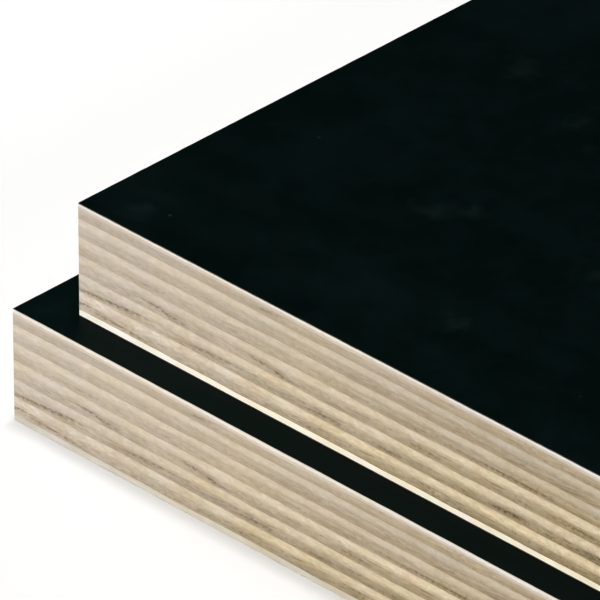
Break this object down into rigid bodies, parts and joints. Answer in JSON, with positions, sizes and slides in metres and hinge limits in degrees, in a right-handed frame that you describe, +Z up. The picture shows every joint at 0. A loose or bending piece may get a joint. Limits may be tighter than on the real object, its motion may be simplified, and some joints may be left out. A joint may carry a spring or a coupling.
{
  "type": "stack of film-faced plywood sheets",
  "caption": "Short stack of flat film-faced plywood sheets, dark phenolic film over cross-laid pale veneers that band the sawn edges, for formwork, floors and linings.",
  "frame": {"origin": "on the floor, at the middle of the stack's footprint", "axes": "+X along the sheets' length, which is the grain of their faces, +Y across their width, +Z up"},
  "size_m": [2.4478, 1.2252, 0.036],
  "materials": {
    "phenolic_film": "smooth satin film",
    "face_veneer": "sawn edge, pale birch",
    "long_grain_veneer": "sawn edge, side grain",
    "cross_grain_veneer": "sawn edge, end grain"
  },
  "bodies": {
    "root": {"lower_sheet_bottom_film": "phenolic_film", "lower_sheet_veneer_01": "face_veneer", "lower_sheet_veneer_02": "cross_grain_veneer", "lower_sheet_veneer_03": "long_grain_veneer", "lower_sheet_veneer_04": "cross_grain_veneer", "lower_sheet_veneer_05": "long_grain_veneer", "lower_sheet_veneer_06": "cross_grain_veneer", "lower_sheet_veneer_07": "long_grain_veneer", "lower_sheet_veneer_08": "cross_grain_veneer", "lower_sheet_veneer_09": "long_grain_veneer", "lower_sheet_veneer_10": "cross_grain_veneer", "lower_sheet_veneer_11": "long_grain_veneer", "lower_sheet_veneer_12": "cross_grain_veneer", "lower_sheet_veneer_13": "face_veneer", "lower_sheet_top_film": "phenolic_film", "upper_sheet_bottom_film": "phenolic_film", "upper_sheet_veneer_01": "face_veneer", "upper_sheet_veneer_02": "cross_grain_veneer", "upper_sheet_veneer_03": "long_grain_veneer", "upper_sheet_veneer_04": "cross_grain_veneer", "upper_sheet_veneer_05": "long_grain_veneer", "upper_sheet_veneer_06": "cross_grain_veneer", "upper_sheet_veneer_07": "long_grain_veneer", "upper_sheet_veneer_08": "cross_grain_veneer", "upper_sheet_veneer_09": "long_grain_veneer", "upper_sheet_veneer_10": "cross_grain_veneer", "upper_sheet_veneer_11": "long_grain_veneer", "upper_sheet_veneer_12": "cross_grain_veneer", "upper_sheet_veneer_13": "face_veneer", "upper_sheet_top_film": "phenolic_film"}
  },
  "joints": []
}
